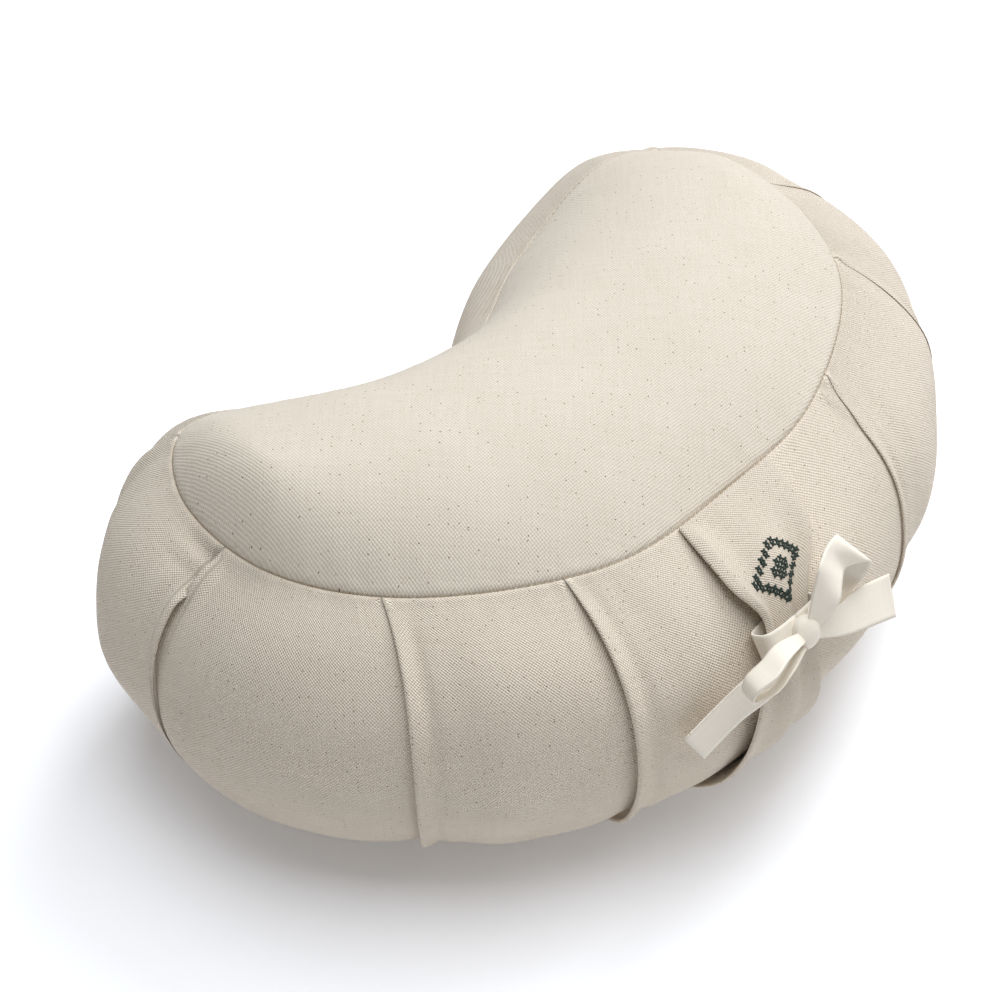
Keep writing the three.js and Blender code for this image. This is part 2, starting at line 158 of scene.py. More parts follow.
def wovenCloth(name, look):
    # Woven cotton: matt yarns that cross over and under, so light catches the high yarn of each crossing
    material, tree = newMaterial(name)
    place = addNode(tree, "ShaderNodeTexCoord").outputs["UV"]
    inMm = addNode(tree, "ShaderNodeVectorMath", {0: place, "Scale": 1000.0}, operation="SCALE").outputs[0]
    drift = addNode(tree, "ShaderNodeTexNoise", {"Vector": inMm, "Scale": 0.22, "Detail": 2.0})
    centred = addNode(tree, "ShaderNodeVectorMath", {0: drift.outputs["Color"], 1: (0.5, 0.5, 0.5)},
                      operation="SUBTRACT").outputs[0]
    moved = addNode(tree, "ShaderNodeVectorMath", {0: centred, 1: (look["drift"],) * 3, 2: inMm},
                    operation="MULTIPLY_ADD").outputs[0]
    axes = addNode(tree, "ShaderNodeSeparateXYZ", {0: moved})
    turns = []
    for axis, pitch in (("X", look["warpPitch"]), ("Y", look["weftPitch"])):
        angle = addNode(tree, "ShaderNodeMath", {0: axes.outputs[axis], 1: math.pi / pitch},
                        operation="MULTIPLY").outputs[0]
        turns.append(addNode(tree, "ShaderNodeMath", {0: angle}, operation="SINE").outputs[0])
    weave = addNode(tree, "ShaderNodeMath", {0: turns[0], 1: turns[1]}, operation="MULTIPLY").outputs[0]
    # yarns that are thicker or paler for part of their length
    slubs = []
    for stretch in ((0.05, 1 / look["weftPitch"], 1), (1 / look["warpPitch"], 0.05, 1)):
        along = addNode(tree, "ShaderNodeVectorMath", {0: inMm, 1: stretch}, operation="MULTIPLY").outputs[0]
        noise = addNode(tree, "ShaderNodeTexNoise", {"Vector": along, "Scale": 0.9, "Detail": 1.0})
        slubs.append(noise.outputs["Fac"])
    slub = addNode(tree, "ShaderNodeMath", {0: slubs[0], 1: slubs[1]}, operation="ADD").outputs[0]
    cloud = addNode(tree, "ShaderNodeTexNoise", {"Vector": inMm, "Scale": 0.03, "Detail": 3.0}).outputs["Fac"]
    # how much each of them shades the cloth, from the middle of the two colours
    total = 0.5
    parts = ((weave, "weaveShade", 0.0), (slub, "slubShade", 1.0), (cloud, "cloudShade", 0.5))
    for part, share, least in parts:
        shade = addNode(tree, "ShaderNodeMath", {0: part, 1: look[share], 2: -least * look[share]},
                        operation="MULTIPLY_ADD").outputs[0]
        total = addNode(tree, "ShaderNodeMath", {0: total, 1: shade}, operation="ADD").outputs[0]
    total.node.use_clamp = True
    colour = addNode(tree, "ShaderNodeMix", {0: total, 6: linear(look["low"]), 7: linear(look["high"])},
                     data_type="RGBA").outputs[2]
    # bits of seed husk left in the cotton
    for cell, size, share, tint in look["flecks"]:
        spots = addNode(tree, "ShaderNodeTexVoronoi", {"Vector": inMm, "Scale": 1 / cell, "Randomness": 1.0},
                        voronoi_dimensions="2D")
        near = addNode(tree, "ShaderNodeMapRange", {
            0: spots.outputs["Distance"], 1: size / cell, 2: 0.45 * size / cell, 3: 0.0, 4: 1.0}).outputs[0]
        pick = addNode(tree, "ShaderNodeSeparateColor", {0: spots.outputs["Color"]}).outputs[0]
        there = addNode(tree, "ShaderNodeMath", {0: pick, 1: share}, operation="LESS_THAN").outputs[0]
        fleck = addNode(tree, "ShaderNodeMath", {0: near, 1: there}, operation="MULTIPLY").outputs[0]
        colour = addNode(tree, "ShaderNodeMix", {0: fleck, 6: colour, 7: linear(tint)},
                         data_type="RGBA").outputs[2]
    height = addNode(tree, "ShaderNodeMath", {0: slub, 1: 0.5, 2: weave}, operation="MULTIPLY_ADD").outputs[0]
    bump = addNode(tree, "ShaderNodeBump", {"Height": height, "Strength": look["bump"],
                                            "Distance": look["yarnHeight"] * mm}).outputs[0]
    shader = addNode(tree, "ShaderNodeBsdfPrincipled", {
        "Base Color": colour, "Normal": bump, "Roughness": 0.92, "Specular IOR Level": 0.25,
        "Sheen Weight": look["sheen"], "Sheen Roughness": 0.5})
    addNode(tree, "ShaderNodeOutputMaterial", {"Surface": shader.outputs[0]})
    return material


# Canvas of about 13 yarns a centimetre, one for each pitch; lengths in mm.
# flecks: a list of cell, radius, share of the cells that hold one, and colour.
canvasLook = {
    "warpPitch": 0.78, "weftPitch": 0.80, "drift": 0.5, "weaveShade": 0.14, "slubShade": 0.12,
    "cloudShade": 0.10, "low": "#AE987B", "high": "#FFF7EA", "bump": 1.0, "yarnHeight": 0.22, "sheen": 0.08,
    "flecks": [(3.9, 0.36, 0.13, "#6B4A30"), (2.9, 0.28, 0.12, "#A07C56")],
}
# the filling pulls the seat panel taut, so its yarns stand out less; its two colours are also darker than the
# band's, painted shade that tones down the top panel where the lamps light it most
seatLookPaintedShade = dict(canvasLook, low="#A5927B", high="#F2ECDF", drift=0.8, weaveShade=0.11, bump=0.5)
strapLook = dict(canvasLook, warpPitch=0.76, weftPitch=0.62)
# Fine plain-woven tape: the yarns are too fine to show, so the pitch is drawn at about twice the real one
tapeLook = {
    "warpPitch": 0.5, "weftPitch": 0.5, "drift": 0.25, "weaveShade": 0.12, "slubShade": 0.25,
    "cloudShade": 0.08, "low": "#E0D5C2", "high": "#FAF3E8", "bump": 0.3, "yarnHeight": 0.08, "sheen": 0.1,
    "flecks": [(9.0, 0.2, 0.10, "#8A7250")],
}
canvas = wovenCloth("undyedCottonCanvas", canvasLook)
# the seat's darker copy of the canvas: its darker colours are painted shade, not a different cloth
seatCanvasPaintedShade = wovenCloth("undyedCottonCanvasSeatPaintedShade", seatLookPaintedShade)
strapCanvas = wovenCloth("undyedCottonCanvasStrap", strapLook)
cottonTape = wovenCloth("bleachedCottonTape", tapeLook)


def plainThread(name, colour, sheen):
    # Spun thread: one colour with fine darker and lighter turns of its ply
    material, tree = newMaterial(name)
    place = addNode(tree, "ShaderNodeTexCoord").outputs["Object"]
    noise = addNode(tree, "ShaderNodeTexNoise", {"Vector": place, "Scale": 1400.0, "Detail": 2.0})
    ply = noise.outputs["Fac"]
    dark = [c * 0.6 for c in linear(colour)[:3]] + [1.0]
    tint = addNode(tree, "ShaderNodeMix", {0: ply, 6: dark, 7: linear(colour)}, data_type="RGBA").outputs[2]
    bump = addNode(tree, "ShaderNodeBump", {"Height": ply, "Strength": 0.4, "Distance": 0.1 * mm}).outputs[0]
    shader = addNode(tree, "ShaderNodeBsdfPrincipled", {"Base Color": tint, "Normal": bump, "Roughness": 0.7,
                                                        "Sheen Weight": sheen})
    addNode(tree, "ShaderNodeOutputMaterial", {"Surface": shader.outputs[0]})
    return material


seamThread = plainThread("spunCottonThread", "#B79E7C", 0.1)
embroideryThread = plainThread("rayonEmbroideryThread", "#162C20", 0.05)
print("materials made")

# the seam of the top panel, seen from above

seam = {
    "points": [(5.5, -69.2), (64.5, -62.2), (137, -20.5), (162.5, 34), (158.5, 82), (122, 104.5),
               (57.5, 104.5), (-1, 80.5), (-63.5, 78), (-135.5, 113), (-161.5, 87), (-166.5, 31),
               (-138, -20.5), (-67.5, -65.5)],
    "innerMiddle": 7, "baseHeight": 12, "steps": 1440,
}
# The skin at places along the seam. at: share of half the seam, 0 at the strap and 1 in the middle of the
# hollow. height: of the top seam. bulge: how far the filled band stands out. fall: angle at which the band
# leaves the seam, below level. swell: how full the top panel's edge is, 2 for an even curve.
sides = table(("at", "height", "bulge", "fall", "swell"), [
    (-1.15, 134.5, 25.5, 42, 2.8),
    (-1, 130, 17, 60, 3.6),
    (-0.85, 146, 17, 60, 3.6),
    (-0.72, 150, 20, 40, 2.3),
    (-0.6, 150.5, 40, 30, 2),
    (-0.45, 151, 44, 28, 2),
    (-0.25, 150.5, 51, 28, 2),
    (0, 145.5, 56, 28, 2),
    (0.25, 147, 48.5, 28, 2),
    (0.45, 149.5, 45.5, 28, 2),
    (0.6, 150.5, 39, 30, 2),
    (0.72, 156, 32.5, 36, 2.2),
    (0.85, 134.5, 25.5, 42, 2.8),
    (1, 130, 17, 60, 3.6),
    (1.15, 146, 17, 60, 3.6),
])
band = {"highBulge": 0.09, "fallReach": 0.45, "baseSpread": 2, "hornTip": 0.6}
panel = {"grain": 45, "crown": 174.5, "crownRight": 172.5, "crownLeft": 180, "underTurn": 0.3, "middle": 56,
         "spineTurn": 1.12, "spineEnd": 0.92, "spineMiddle": 0.9}


def seamCurve():
    corners = np.array(seam["points"], float)
    count = len(corners)
    u = (np.arange(80) / 80)[:, None]
    pieces = []
    for i in range(count):
        knots = [corners[(i + k) % count] for k in (-1, 0, 1, 2)]
        gaps = [np.hypot(*(after - before)) ** 0.5 for before, after in zip(knots, knots[1:])]
        pieces.append(curveBetween(u, knots, gaps))
    line = np.concatenate(pieces)
    ring = np.vstack([line, line[:1]])
    run = runAlong(ring)
    even = np.linspace(0, run[-1], seam["steps"], endpoint=False)
    return np.stack([np.interp(even, run, ring[:, k]) for k in (0, 1)], -1), run[-1]


seamLine, seamLength = seamCurve()
half = seamLength / 2
inner = np.array(seam["points"][seam["innerMiddle"]])
rightShare = np.argmin(np.hypot(*(seamLine - inner).T)) / seam["steps"]


def seamAt(t):
    # point and outward direction at t: 0 at the strap, +1 or -1 in the middle of the hollow
    share = np.where(t >= 0, t * rightShare, 1 + t * (1 - rightShare)) % 1.0
    place = share * seam["steps"]
    i = np.floor(place).astype(int)
    u = (place - i)[..., None]
    step = seam["steps"]
    reach = 12
    point = seamLine[i % step] * (1 - u) + seamLine[(i + 1) % step] * u
    along = ((seamLine[(i + reach) % step] - seamLine[(i - reach) % step]) * (1 - u)
             + (seamLine[(i + 1 + reach) % step] - seamLine[(i + 1 - reach) % step]) * u)
    along = unit(along)
    return point, np.stack([along[..., 1], -along[..., 0]], -1)


def sideAt(name, t):
    return tableValue(sides, "at", name, t)


def bandSection(t, down):
    # how far out past the seam and how high the band is, down running from 0 at the top seam to 1 at the base
    turn = math.pi * down
    bulge = sideAt("bulge", t)
    height = sideAt("height", t)
    outward = (bulge * np.sin(turn) * (1 + band["highBulge"] * np.cos(turn))
               + band["baseSpread"] * (1 - np.cos(turn)) / 2)
    drop = (height - seam["baseHeight"]) * (1 - np.cos(turn)) / 2
    steepness = np.tan(np.radians(sideAt("fall", t)))
    firstFall = bulge * steepness * np.sin(turn) * np.exp(-turn / band["fallReach"])
    return outward, height - drop - firstFall


def bandPoint(t, down, rise=0.0):
    # rise lifts the point off the cloth
    t, down = np.broadcast_arrays(np.asarray(t, float), np.asarray(down, float))
    point, out = seamAt(t)
    outward, z = bandSection(t, down)
    after, before = bandSection(t, down + 0.001), bandSection(t, down - 0.001)
    slopeOut, slopeUp = after[0] - before[0], after[1] - before[1]
    stand = rise / np.hypot(slopeOut, slopeUp)
    plan = point + out * (outward - slopeUp * stand)[..., None]
    return np.concatenate([plan, (z + slopeOut * stand)[..., None]], -1)


def spineAt(t):
    at = np.abs(t)
    tip = band["hornTip"]
    share = np.where(at < tip, at / tip, (1 - at) / (1 - tip))
    u = np.sin(np.minimum(share * panel["spineTurn"], 1) * math.pi / 2)
    ends = []
    for outer, rear, front in ((2, 3, 5), (12, 11, 9)):
        p = seam["points"]
        x = (p[rear][0] + p[front][0]) / 2 * panel["spineEnd"]
        y = mix(panel["middle"], (p[outer][1] + p[front][1]) / 2, panel["spineMiddle"])
        ends.append((x, y))
    end = np.where((t >= 0)[..., None], np.array(ends[0]), np.array(ends[1]))
    middleY = (seam["points"][0][1] + inner[1]) / 2
    return np.stack([u * end[..., 0], mix(middleY, end[..., 1], u * u)], -1), u


def topPoint(t, inward):
    t, inward = np.broadcast_arrays(np.asarray(t, float), np.asarray(inward, float))
    point = seamAt(t)[0]
    spine, u = spineAt(t)
    crown = mix(panel["crown"], np.where(t >= 0, panel["crownRight"], panel["crownLeft"]), u)
    z = mix(sideAt("height", t), crown, 1 - (1 - inward) ** sideAt("swell", t))
    return np.concatenate([mix(point, spine, inward[..., None]), z[..., None]], -1)


def basePoint(t, inward):
    t, inward = np.broadcast_arrays(np.asarray(t, float), np.asarray(inward, float))
    rim = bandPoint(t, 1.0)
    plan = mix(rim[..., :2], spineAt(t)[0], inward[..., None])
    z = seam["baseHeight"] * (1 - smooth(0, panel["underTurn"], inward))
    return np.concatenate([plan, z[..., None]], -1)


# the pleated cover

# at, lean: place at the top seam and how far the foot moves towards the strap, in shares of half the seam.
# depth, ridge, echo: fall of the cloth under the fold, height of the fold's edge, depth of the trough
# beside it. start, end: where the fold stands out most, in shares of the drop. tuck: how far the cloth
# runs under the fold. crossing: where the fold changes sides, so that the cloth of its other side lies
# over. rest: share of its height that the fold keeps at the base. closing: where the fold runs out into
# smooth cloth.
pleats = table(("at", "lean", "depth", "ridge", "start", "end", "echo", "tuck"), [
    (-0.672, 0.012, 2.0, 0.8, 0.20, 0.70, 0.8, 3.0),
    (-0.515, -0.004, 3.4, 1.5, 0.06, 0.20, 1.4, 3.6),
    (-0.362, 0.029, 2.4, 1.9, 0.25, 0.80, 1.4, 3.5),
    (-0.203, 0.022, 2.8, 2.0, 0.12, 0.85, 1.2, 3.5),
    (0.187, 0.063, 1.1, 0.8, 0.20, 0.60, 1.8, 1.0),
    (0.370, 0.048, 0.4, 0.35, 0.20, 0.60, 1.4, 0.7),
    (0.508, 0.020, 0.4, 0.3, 0.10, 0.50, 1.0, 0.8),
    (0.645, 0.012, 0.35, 0.2, 0.20, 0.70, 0.8, 0.8),
])
# the fold at the left horn
pleats[1].update(crossing=(0.10, 0.20), rest=0.04, closing=(0.22, 0.46))
# small hollows and rises beside the folds: their size along the seam and down the band, and their height, mm
dents = table(("at", "down", "along", "drop", "height"), [
    (-0.531, 0.044, 8, 3.2, -2.2),
    (-0.538, 0.074, 9, 3.4, 1.3),
    (-0.535, 0.10, 8, 3.0, -0.8),
    (-0.502, 0.44, 2.2, 17, -1.7),
    (-0.494, 0.50, 2.2, 18, 1.0),
    (-0.485, 0.42, 2.6, 17, -1.2),
    (-0.335, 0.09, 3.5, 12, -0.9),
    (-0.160, 0.10, 3.0, 12, -0.8),
    (0.150, 0.12, 3.0, 16, -0.8),
    (0.150, 0.36, 4.0, 24, -1.2),
    (0.340, 0.30, 4.0, 20, -1.0),
])
cover = {
    "leanDrop": 0.16, "foldReach": 7.0, "ridgeReach": 3.4, "echoPlace": 15.0, "echoReach": 7.0,
    "besideRidge": 1.4, "besidePlace": 6.6, "besideReach": 2.4, "puff": 1.6, "topStrength": 0.25,
    "columnSpacing": 3.4, "foldZone": 10.5, "groove": 1.1, "grooveWidth": 0.6, "lip": 0.2,
    "bandRows": 50, "topRows": 26, "pucker": 0.34, "puckerReach": 9.0, "lump": 0.7,
    "foldRest": 0.25, "heldTuck": 0.08, "heldSqueeze": 0.25, "edgeRadius": 1.1, "seamHold": 0.035,
    "lipPlace": 2.2, "lipReach": 1.2, "seamFlat": 2.5, "puffReach": 40, "bandLumps": (45, 90),
    "panelLump": 0.5, "panelLumps": (60, 120), "lumpStart": 30, "bandPuckers": (7, 17), "panelPucker": 0.6,
    "panelPuckers": (8, 19), "puckerStart": 3, "firstRing": 0.006, "lastRing": 0.97, "ringGrowth": 1.45,
    "seamRows": (0, 0.0035, 0.0075, 0.013, 0.021, 0.032, 0.046, 0.063), "middleRows": (0.083, 0.917),
    "baseRows": (0.03, 0.08, 0.15, 0.22, 0.3, 0.6, 0.9), "otherCloth": (700, 600),
}
# a pleat's columns in order: mm beside the fold's line under it, shares of the tuck on the way in and back,
# degrees round the fold's edge, and mm beside the line over it
foldUnder = [-9.0, -7.2, -5.6, -4.2, -3.0, -2.0, -1.2, -0.5]
foldTucked = [0.35, 0.7, 1.0]
foldBack = [0.75, 0.45]
foldTurn = [-75, -40, -5, 35, 75]
foldOver = [1.5, 2.3, 3.3, 4.5, 6.0, 7.6, 9.2]


def foldPlace(pleat, down):
    side = math.copysign(1, pleat["at"])
    return pleat["at"] - side * pleat["lean"] * (1 - np.exp(-down / cover["leanDrop"]))


def foldStrength(pleat, down):
    rising = mix(cover["topStrength"], 1, smooth(0, pleat["start"], down))
    lastShare = pleat.get("rest", cover["foldRest"])
    return rising * mix(1, lastShare, smooth(pleat["end"], mix(pleat["end"], 1, 0.6), down))


def overShape(pleat, beside):
    # the fold's round edge, then a shallow trough
    edge = pleat["ridge"] * hump(beside, 0, cover["ridgeReach"])
    return edge - cover["besideRidge"] * hump(beside, cover["besidePlace"], cover["besideReach"])


def underShape(pleat, beside):
    return -pleat["depth"] * np.exp(np.minimum(beside, 0) / cover["foldReach"])


def plainShape(pleat, beside):
    return np.where(beside < 0, underShape(pleat, beside), overShape(pleat, beside))


def crossedShare(pleat, down):
    return smooth(*pleat["crossing"], down) if "crossing" in pleat else 0.0 * down


def dentRelief(t, fromTop):
    total = np.zeros(np.shape(t))
    for dent in dents:
        along = (t - dent["at"]) * half / dent["along"]
        # mm down the band at the dent's own place
        line = bandPoint(dent["at"], np.linspace(0, dent["down"], 24))
        depth = runAlong(line)[-1]
        total += dent["height"] * np.exp(-along ** 2 - ((fromTop - depth) / dent["drop"]) ** 2)
    return total


def reliefFrom(pleat, t, down, shape=None):
    beside = (t - foldPlace(pleat, down)) * half
    if shape is None:
        crossed = crossedShare(pleat, down)
        shape = mix(plainShape(pleat, beside), plainShape(pleat, -beside), crossed)
    far = -pleat["echo"] * hump(beside, cover["echoPlace"], cover["echoReach"])
    return foldStrength(pleat, down) * (shape + far), np.abs(beside)


def roundWaves(points, seed, shortest, longest, count=28):
    # soft unevenness from waves in random directions, even in all places of the surface
    rng = np.random.default_rng(seed)
    total = np.zeros(points.shape[:-1])
    for _ in range(count):
        direction = unit(rng.normal(size=3))
        length = rng.uniform(shortest, longest)
        total += np.sin(points @ direction * 2 * math.pi / length + rng.uniform(0, 2 * math.pi))
    return total / math.sqrt(count / 2)


def ringWaves(t, seed, shortest, longest, count=16):
    # waves along the seam that meet where it closes
    rng = np.random.default_rng(seed)
    total = np.zeros(np.shape(t))
    for _ in range(count):
        turns = round(seamLength / rng.uniform(shortest, longest))
        total += np.sin(math.pi * t * turns + rng.uniform(0, 2 * math.pi))
    return total / math.sqrt(count / 2)


def foldSteps():
    parts = {"under": foldUnder, "tucked": foldTucked, "back": foldBack, "turn": foldTurn, "over": foldOver}
    return [(kind, value) for kind, values in parts.items() for value in values]


def foldState(pleat, kind, value, opened):
    # how far beside the fold's line a column is, and how high; opened is 0 where a seam holds the fold flat
    low = -pleat["depth"]
    high = pleat["ridge"]
    tuck = pleat["tuck"] * mix(cover["heldTuck"], 1, opened)
    squeeze = mix(cover["heldSqueeze"], 1, opened)
    radius = min(cover["edgeRadius"], 0.32 * (high - low))
    if kind == "under":
        beside = value * np.where(np.abs(value) < 3, squeeze, 1.0)
        return beside, underShape(pleat, beside)
    if kind == "tucked":
        return value * tuck, np.full(len(opened), low)
    if kind == "back":
        climbed = 0.55 + 0.45 * (foldBack[0] - value) / (foldBack[0] - foldBack[-1])
        return value * tuck, np.full(len(opened), mix(low, high - 2 * radius, climbed))
    if kind == "turn":
        angle = math.radians(value)
        rounded = high - radius + radius * math.sin(angle)
        return radius * (1 - math.cos(angle)) * squeeze, np.full(len(opened), rounded)
    beside = value * np.where(value < 3, squeeze, 1.0)
    return beside, overShape(pleat, beside)


def coverColumns():
    # each column: its place at rest, the pleat that it belongs to, and its step in the fold
    zone = cover["foldZone"] / half
    columns = []
    for index, pleat in enumerate(pleats):
        for order in range(len(foldSteps())):
            columns.append((pleat["at"] + 1e-6 * order, index, order))
    edges = sorted([pleat["at"] for pleat in pleats])
    spans = list(zip(edges, edges[1:] + [edges[0] + 2]))
    for low, high in spans:
        start, stop = low + zone, high - zone
        count = max(2, round((stop - start) * half / cover["columnSpacing"]))
        for k in range(count + 1):
            t = start + (stop - start) * k / count
            columns.append((t if t <= 1 else t - 2, None, 0))
    return sorted(columns, key=lambda column: column[0])


def leanAt(t, down):
    # columns between two pleats lean as they do
    zone = cover["foldZone"] / half
    knots = [(-1.0, 0.0), (-0.8, 0.0)]
    for pleat in pleats:
        side = math.copysign(1, pleat["at"])
        for end in (-zone, zone):
            knots.append((pleat["at"] + end, -side * pleat["lean"]))
    knots += [(0.0, 0.0), (0.8, 0.0), (1.0, 0.0)]
    places, leans = zip(*sorted(knots))
    return t + np.interp(t, places, leans) * (1 - np.exp(-down / cover["leanDrop"]))


def panelLump(points):
    return cover["panelLump"] * cover["lump"] * roundWaves(points * (1, 1, 0), 6, *cover["panelLumps"])


def makeCover():
    columns = coverColumns()
    count = len(columns)
    rest = np.array([c[0] for c in columns])
    # rows of the band, close together at both seams
    near = np.array(cover["seamRows"])
    middle = np.linspace(*cover["middleRows"], cover["bandRows"])
    down = np.concatenate([near, middle, 1 - near[::-1]])
    place = np.zeros((len(down), count))
    rise = np.zeros((len(down), count))
    plain = np.array([c[1] is None for c in columns])
    place[:, plain] = leanAt(rest[None, plain], down[:, None])
    nearest = np.full(place.shape, 1e3)
    shapes = {}
    # the seams hold the fold flat
    opened = smooth(0, cover["seamHold"], down) * smooth(0, cover["seamHold"], 1 - down)
    steps = foldSteps()
    for c, (_, index, order) in enumerate(columns):
        if index is None:
            continue
        pleat = pleats[index]
        loose = opened * (1 - smooth(*pleat["closing"], down)) if "closing" in pleat else opened
        beside, shape = foldState(pleat, *steps[order], loose)
        crossed = crossedShare(pleat, down)
        otherBeside, otherShape = foldState(pleat, *steps[::-1][order], loose)
        shapes[c] = mix(shape, otherShape, crossed)
        place[:, c] = foldPlace(pleat, down) + mix(beside, -otherBeside, crossed) / half
    for index in range(len(pleats)):
        # at both seams the folded columns lie in order
        block = [c for c in shapes if columns[c][1] == index]
        for row in (0, -1):
            place[row, block] = np.sort(place[row, block]) + 1e-6 * np.arange(len(block))
    for index, pleat in enumerate(pleats):
        relief, away = reliefFrom(pleat, place, down[:, None])
        for c, shape in shapes.items():
            if columns[c][1] == index:
                relief[:, c] = reliefFrom(pleat, place[:, c], down, shape)[0]
        rise += relief
        nearest = np.minimum(nearest, away)
    rows = down[:, None] + 0 * place
    rise += cover["puff"] * smooth(0, cover["puffReach"], nearest) * np.sin(math.pi * rows)
    # groove and lips of the seams, dents, puckers that run out from them, and the uneven filling
    flat = bandPoint(place, rows, 0)
    steps = np.linalg.norm(np.diff(flat, axis=0), axis=-1)
    fromTop = np.concatenate([np.zeros((1, count)), np.cumsum(steps, axis=0)])
    fromBase = fromTop[-1] - fromTop
    rise += dentRelief(place, fromTop)
    for distance in (fromTop, fromBase):
        rise *= 1 - hump(distance, 0, cover["seamFlat"])
    rise += cover["lump"] * roundWaves(flat, 5, *cover["bandLumps"]) * np.sin(math.pi * rows) ** 0.7
    for distance, seed in ((fromTop, 11), (fromBase, 12)):
        rise += cover["lip"] * hump(distance, cover["lipPlace"], cover["lipReach"])
        rise += (cover["pucker"] * ringWaves(place, seed, *cover["bandPuckers"])
                 * np.exp(-distance / cover["puckerReach"]) * smooth(0, cover["puckerStart"], distance))
        rise -= cover["groove"] * hump(distance, 0, cover["grooveWidth"])
    skin = bandPoint(place, rows, rise)
    # top panel from its middle out to the seam
    step = np.linspace(0, 1, cover["topRows"])
    inward = mix(cover["firstRing"], cover["lastRing"], step ** cover["ringGrowth"])
    top = topPoint(place[0][None, :], inward[:, None])
    point = seamAt(place[0])[0]
    reach = np.hypot(*(spineAt(place[0])[0] - point).T)
    distance = inward[:, None] * reach[None, :]
    top[..., 2] -= cover["groove"] * hump(distance, 0, cover["grooveWidth"])
    top[..., 2] += cover["lip"] * hump(distance, cover["lipPlace"], cover["lipReach"])
    top[..., 2] += (cover["panelPucker"] * cover["pucker"]
                    * ringWaves(place[0], 13, *cover["panelPuckers"])[None, :]
                    * np.exp(-distance / cover["puckerReach"]) * smooth(0, cover["puckerStart"], distance))
    top[..., 2] += panelLump(top) * smooth(0, cover["lumpStart"], distance)
    under = basePoint(place[-1][None, :], np.array(cover["baseRows"])[:, None])
    grid = np.concatenate([top[::-1], skin, under])
    points = grid.reshape(-1, 3).tolist()
    # cloth lengths along and down, for the weave; a fold that runs out is still open at the upper row
    rings = [np.vstack([skin[row], skin[row][:1]]) for row in (len(down) // 4, len(down) // 2)]
    widths = np.max([np.linalg.norm(np.diff(ring, axis=0), axis=1) for ring in rings], axis=0)
    run = np.concatenate([[0], np.cumsum(widths)])
    drop = runAlong(skin[:, count // 2])
    faces = []
    uvs = []
    ofSeatPaintedShade = []
    topRows = len(top)
    bandRows = len(skin)

    def panelUv(point, under):
        # the panels are cut on the bias, and the base panel from another place of the cloth
        grain = math.radians(panel["grain"])
        u = point[0] * math.cos(grain) - point[1] * math.sin(grain)
        v = point[0] * math.sin(grain) + point[1] * math.cos(grain)
        return (u + cover["otherCloth"][0], v + (cover["otherCloth"][1] if under else 0))

    for r in range(len(grid) - 1):
        for c in range(count):
            n = (c + 1) % count
            faces.append((r * count + c, (r + 1) * count + c, (r + 1) * count + n, r * count + n))
            ofSeatPaintedShade.append(int(r < topRows - 1))
            quad = []
            for rr, cc in ((r, c), (r + 1, c), (r + 1, c + 1), (r, c + 1)):
                if topRows <= r < topRows + bandRows - 1:
                    quad.append((run[cc], drop[rr - topRows]))
                else:
                    quad.append(panelUv(grid[rr, cc % count], r >= topRows))
            uvs += quad
    for ring, level, flip in ((0, topPoint, False), ((len(grid) - 1) * count, basePoint, True)):
        knots = np.linspace(-band["hornTip"], band["hornTip"], 61)
        spine = level(knots, 1.0)
        if not flip:
            spine[:, 2] += panelLump(spine)
        first = len(points)
        points += spine.tolist()
        xs = spineAt(rest)[0][:, 0]
        nearestKnot = [int(np.argmin(np.abs(spine[:, 0] - x))) for x in xs]
        for c in range(count):
            n = (c + 1) % count
            a, b = nearestKnot[c], nearestKnot[n]
            triangles = [(ring + c, ring + n, first + a)]
            step = 1 if b > a else -1
            for k in range(a, b, step):
                triangles.append((first + k, ring + n, first + k + step))
            for tri in triangles:
                tri = tri[::-1] if flip else tri
                faces.append(tri)
                ofSeatPaintedShade.append(int(not flip))
                uvs += [panelUv(points[i], flip) for i in tri]
    piece = addMesh("cushionCover", points, faces, uvs, canvas)
    # the seat faces take the darker canvas, whose colours hold painted shade
    piece.data.materials.append(seatCanvasPaintedShade)
    piece.data.polygons.foreach_set("material_index", ofSeatPaintedShade)
    return piece


coverPiece = makeCover()
print("cover made", len(coverPiece.data.polygons), "faces")

# the carry strap

waist = {"down": 0.29, "along": -28.3, "rise": 9.2}
strap = {
    "rows": table(("down", "along", "half", "gap", "fold"), [
        (0.004, -7, 29, 0.4, 0),
        (0.09, -10, 28, 1.8, 0.5),
        (0.17, -15, 24, 3.5, 1.2),
        (0.24, -23, 13.2, 5, 1.6),
        (0.29, -28.3, 10.5, 5.6, 1.8),
        (0.35, -30, 12, 7, 1.5),
        (0.46, -31, 16, 9, 1.4),
        (0.64, -30, 20, 7, 1.2),
        (0.83, -28, 22, 2.6, 0.6),
        (0.985, -26, 22, 0.5, 0),
    ]),
    "cloth": 1.8, "folds": 2, "across": 72, "down": 160,
    "rollPlace": -0.84, "rollReach": 0.12, "rollHeight": 1.7, "rollTrough": 0.9, "rollEnd": 0.3,
    "gathers": 5, "gatherHeight": 0.55, "gatherReach": 0.07, "tilt": 0.1, "belowShare": 0.34,
    "rollStart": 0.06, "rollFade": 0.1, "troughPlace": 0.32, "troughReach": 0.16, "edgePower": 24,
    "edgeShare": 0.25, "lieBack": (0.3, 0.42), "leave": (0.72, 0.92),
}


